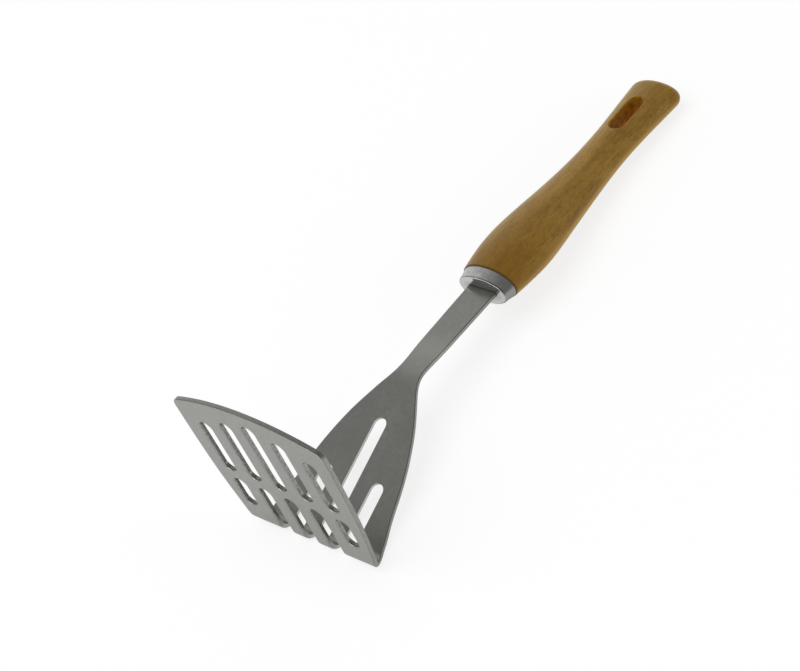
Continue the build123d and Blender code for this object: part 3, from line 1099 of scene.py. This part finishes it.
def cap_finish(finishes):
    """Polished ferrule with a smeared, duller side that is lighter on the left as painted light and darker
    at its right end as painted shade, a painted shade line on its rim and painted shade inside its slot.
    """
    f = Finish("polished_ferrule")
    fine = f.noise(f.place, 900.0, detail=2.0, rough=0.6)
    cloud = f.noise(f.place, 120.0, detail=2.0)
    smear = f.noise(f.place, 330.0, detail=2.0, rough=0.6, warp=0.4)
    clouds = (0.3, 0.7)
    dull = finishes.cap_side
    side = f.mark("side_mark")
    across = f.facing(f.outward, (0.0, 1.0, 0.0))
    face = f.mix(f.remap(cloud, clouds), scaled(finishes.cap, 0.97), finishes.cap)
    # Painted light and shade on the side: lighter where it faces left, darker at its right end
    band_painted_light = f.remap(across, (-0.42, 0.18), smooth=True)
    band = f.mix(band_painted_light, dull, finishes.cap_side_painted_light)
    band = f.mix(f.remap(across, (-0.72, -0.97)), band, scaled(dull, 0.78))
    band = f.mix(f.remap(smear, (0.38, 0.64), (0.0, 0.42)), band, scaled(dull, 0.62))
    shade = f.mix(side, face, band)
    # Painted shade: a dark line on the middle of the rim's rounding, strongest where it faces up and towards
    # minus Y
    line = f.times(f.remap(side, (0.4, 0.65)), f.remap(side, (0.95, 0.8)))
    upper = f.facing(f.outward, (0.0, -0.65, 0.76))
    deep = f.remap(upper, (0.62, 0.70), (0.35, 0.9))
    shade = f.mix(f.times(line, deep), shade, finishes.cap_rim_painted_shade)
    shade = f.mix(f.times(f.mark("slot_mark"), 0.35), shade, finishes.cap_slot)
    rough = f.math("ADD", f.remap(fine, clouds, (0.06, 0.10)), f.times(side, 0.28))
    wave = f.bump(cloud, strength=0.05, distance=0.0001)
    f.set(Base_Color=shade, Metallic=1.0, Roughness=rough, Normal=wave)
    return f.material


def wood_finish(finishes, stand):
    """Oiled beech: long soft grain, short dark flecks, bare wood in the hang hole, with painted light on the
    lower right and upper left flanks and towards the back of the hang hole.
    """
    f = Finish("oiled_beech")
    back = stand.inverted()
    centring = {"Vector": f.place, "Rotation": back.to_euler("XYZ"), "Location": back.translation}
    wood = f.add("ShaderNodeMapping", centring).outputs[0]
    along, _, front = f.parts(wood)
    grain = f.noise(wood, (4.0, 120.0, 60.0), detail=3.0, rough=0.55, warp=0.4)
    fibre = f.noise(wood, (60.0, 1500.0, 1500.0), detail=2.0, rough=0.6)
    fleck = f.noise(wood, (330.0, 1500.0, 900.0), detail=1.0)
    speck = f.noise(wood, (700.0, 2600.0, 2600.0), detail=1.0)
    patch = f.noise(wood, (22.0, 60.0, 60.0), detail=3.0, rough=0.6, warp=0.5)
    drift = f.noise(wood, (110.0, 420.0, 420.0), detail=2.0, rough=0.6, warp=0.6)
    bare = f.noise(f.place, 350.0, detail=2.0, rough=0.6)
    lines = f.remap(grain, (0.35, 0.65), smooth=True)
    shade = f.mix(lines, finishes.wood_dark, finishes.wood_light)
    layers = (
        (patch, (0.45, 0.7), 0.5, finishes.wood_pale),
        (fibre, (0.45, 0.75), 0.36, finishes.wood_fleck),
        (drift, (0.50, 0.72), 0.42, finishes.wood_pale),
        (drift, (0.48, 0.30), 0.42, finishes.wood_fleck),
        (speck, (0.54, 0.74), 0.5, finishes.wood_fleck),
        (speck, (0.46, 0.28), 0.4, finishes.wood_pale),
        (fleck, (0.61, 0.71), 0.72, finishes.wood_fleck),
    )
    for noise, span, most, tone in layers:
        shade = f.mix(f.remap(noise, span, (0.0, most)), shade, tone)
    # Painted light: the lower right flank is made paler and golden where it faces down and to the right
    right = f.remap(f.facing(f.outward, (0.0, -0.9, -0.436)), (0.80, 0.98), smooth=True)
    shade = f.mix(right, shade, finishes.wood_right_painted_light)
    # Painted light: the upper left flank is made paler where it faces up and to the left
    left = f.remap(f.facing(f.outward, (0.0, 0.45, 0.893)), (0.70, 0.95), smooth=True)
    left = f.times(left, f.remap(patch, (0.35, 0.65), (0.65, 1.15)))
    shade = f.mix(left, shade, f.mix(1.0, shade, finishes.wood_left_painted_light, "MULTIPLY"))
    rich = f.remap(along, (0.004, 0.03), (0.45, 0.0), smooth=True)
    shade = f.mix(rich, shade, finishes.wood_rich)
    seam = f.remap(along, (0.0002, 0.0010), (0.65, 0.0), smooth=True)
    shade = f.mix(seam, shade, finishes.wood_seam)
    bore = f.mark("bore")
    bored = f.mix(f.remap(bare, (0.4, 0.6)), finishes.wood_bore, scaled(finishes.wood_bore, 0.6))
    # Painted light: the hole's wall is made up to 2.2 times brighter towards the back, where it lies deep in
    # shade
    hole_painted_light = f.remap(front, (0.005, -0.003), (1.0, 2.2))
    shade = f.mix(bore, shade, f.vector("SCALE", {0: bored, "Scale": hole_painted_light}))
    height = f.math("ADD", f.times(fibre, 0.6), f.times(fleck, 0.4))
    f.set(
        Base_Color=shade,
        Roughness=f.remap(fibre, (0.3, 0.7), (0.42, 0.52)),
        Normal=f.bump(height, strength=0.12, distance=0.0001),
        Specular_IOR_Level=0.36,
        Specular_Tint=finishes.wood_gloss,
        Sheen_Weight=f.remap(bore, (0.0, 1.0), (1.0, 0.0)),
        Sheen_Roughness=0.35,
        Sheen_Tint=finishes.wood_fuzz,
    )
    return f.material


def resin_finish(finishes):
    """Cured casting resin with soft clouds."""
    f = Finish("cured_resin")
    cloud = f.noise(f.place, 180.0, detail=3.0)
    shade = f.mix(cloud, scaled(finishes.resin, 0.9), finishes.resin)
    f.set(Base_Color=shade, Roughness=0.3, Normal=f.bump(cloud, strength=0.1, distance=0.0002))
    return f.material


def floor_finish(stage):
    """A matt pale floor that keeps the shadow and looks white to the camera and in reflections."""
    f = Finish("pale_floor")
    f.tree.nodes.remove(f.shader)
    seen = f.add("ShaderNodeLightPath").outputs
    direct = f.math("MAXIMUM", seen["Is Camera Ray"], seen["Is Transmission Ray"])
    mirrored = seen["Is Glossy Ray"]
    shade = f.mix(direct, stage.floor_colour, (stage.floor_shade,) * 3)
    shade = f.mix(mirrored, shade, (stage.mirror_shade,) * 3)
    shown = f.times(direct, stage.floor_glow)
    strength = f.math("ADD", shown, f.times(mirrored, stage.mirror_glow))
    matt = f.add("ShaderNodeBsdfDiffuse", {"Color": shade}).outputs[0]
    glow = f.add("ShaderNodeEmission", {"Strength": strength}).outputs[0]
    both = f.add("ShaderNodeAddShader", {0: matt, 1: glow}).outputs[0]
    f.put(both, f.tree.nodes["Material Output"].inputs["Surface"])
    return f.material


class MASHER_OT_stage(bpy.types.Operator):
    """Lay the floor and set the light and the camera"""

    bl_idname = "masher.stage"
    bl_label = "Stage"

    def execute(self, context):
        stage = context.scene.masher.stage
        half = stage.floor_half
        mesh = bpy.data.meshes.new("floor")
        corners = [(x * half, y * half, -stage.floor_drop) for x, y in ((-1, -1), (1, -1), (1, 1), (-1, 1))]
        mesh.from_pydata(corners, [], [(0, 1, 2, 3)])
        mesh.materials.append(floor_finish(stage))
        new_object("floor", mesh)
        self.light_world(context.scene, stage)
        self.soft_light("key_light", stage.key_power, stage.key_place, stage.key_size)
        self.soft_light("side_light", stage.side_power, stage.side_place, stage.side_size)
        self.aim_camera(context.scene, stage)
        context.scene.view_settings.view_transform = "Standard"
        return {"FINISHED"}

    def light_world(self, scene, stage):
        """Soft light from all round, and the grey studio that the metal reflects."""
        world = bpy.data.worlds.new("studio")
        scene.world = world
        world.use_nodes = True
        n = Nodes(world.node_tree)
        way = n.add("ShaderNodeTexCoord").outputs["Generated"]
        _, depth, height = n.parts(way)

        def add_patch(shown, name):
            place, edge, brightness = PATCHES[name]
            cosine = n.facing(way, Vector(place).normalized())
            return n.math("ADD", shown, n.remap(cosine, (edge, 1.0), (0.0, brightness), smooth=True))

        upper = n.remap(depth, GREY_SPAN, (stage.grey_front, stage.grey_back), smooth=True)
        upper = add_patch(add_patch(upper, "behind_shank"), "neck_strip")
        lower = n.remap(depth, HORIZON_SPAN, (stage.low_front, 1.0), smooth=True)
        shown = n.remap(height, (0.0, stage.grey_height), (lower, upper), smooth=True)
        shown = add_patch(add_patch(shown, "small_lamp"), "dark_card")
        shown = n.math("MAXIMUM", shown, LEAST_LIGHT)
        soft = n.remap(height, SKY_SPAN, (stage.sky_low, stage.sky_high), smooth=True)
        seen = n.add("ShaderNodeLightPath").outputs
        total = n.between(seen["Is Glossy Ray"], soft, shown)
        light = world.node_tree.nodes["Background"].inputs
        n.put(n.between(seen["Is Camera Ray"], total, 1.0), light["Strength"])
        n.put((1.0, 1.0, 1.0), light["Color"])

    def soft_light(self, name, energy, place, size):
        lamp = bpy.data.lights.new(name, "AREA")
        lamp.shape = "DISK"
        lamp.size = size
        lamp.energy = energy
        holder = new_object(name, lamp)
        holder.location = place
        holder.rotation_euler = (-Vector(place)).to_track_quat("-Z", "Y").to_euler()
        holder.visible_glossy = False

    def aim_camera(self, scene, stage):
        camera = bpy.data.cameras.new("camera")
        camera.sensor_fit = "HORIZONTAL"
        camera.sensor_width = 36.0
        camera.lens = stage.focal_length
        camera.clip_start = 0.05
        camera.clip_end = 50.0
        holder = new_object("camera", camera)
        right = Vector(stage.camera_right).normalized()
        up = Vector(stage.camera_up)
        up = (up - right * up.dot(right)).normalized()
        turn = Matrix((right, up, right.cross(up))).transposed()
        holder.matrix_world = Matrix.Translation(stage.camera_place) @ turn.to_4x4()
        scene.camera = holder


class MASHER_PT_panel(bpy.types.Panel):
    """Buttons for each piece and the stage"""

    bl_idname = "MASHER_PT_panel"
    bl_label = "Potato Masher"
    bl_space_type = "VIEW_3D"
    bl_region_type = "UI"
    bl_category = "Masher"

    def draw(self, context):
        for step in STEPS:
            self.layout.operator(step.bl_idname)


SIZES = (SheetSizes, SlotSizes, CapSizes, HandleSizes, Finishes, StageSizes, MasherSettings)
STEPS = (MASHER_OT_stage, MASHER_OT_sheet, MASHER_OT_ferrule, MASHER_OT_handle, MASHER_OT_resin)
CLASSES = (*SIZES, *STEPS, MASHER_PT_panel)


def register():
    for kind in CLASSES:
        bpy.utils.register_class(kind)
    bpy.types.Scene.masher = group(MasherSettings, "Masher", "Potato masher")


def unregister():
    del bpy.types.Scene.masher
    for kind in reversed(CLASSES):
        bpy.utils.unregister_class(kind)


def main():
    register()
    bpy.ops.masher.stage()
    bpy.ops.masher.sheet()
    bpy.ops.masher.ferrule()
    bpy.ops.masher.handle()
    bpy.ops.masher.resin()


if __name__ == "__main__":
    main()
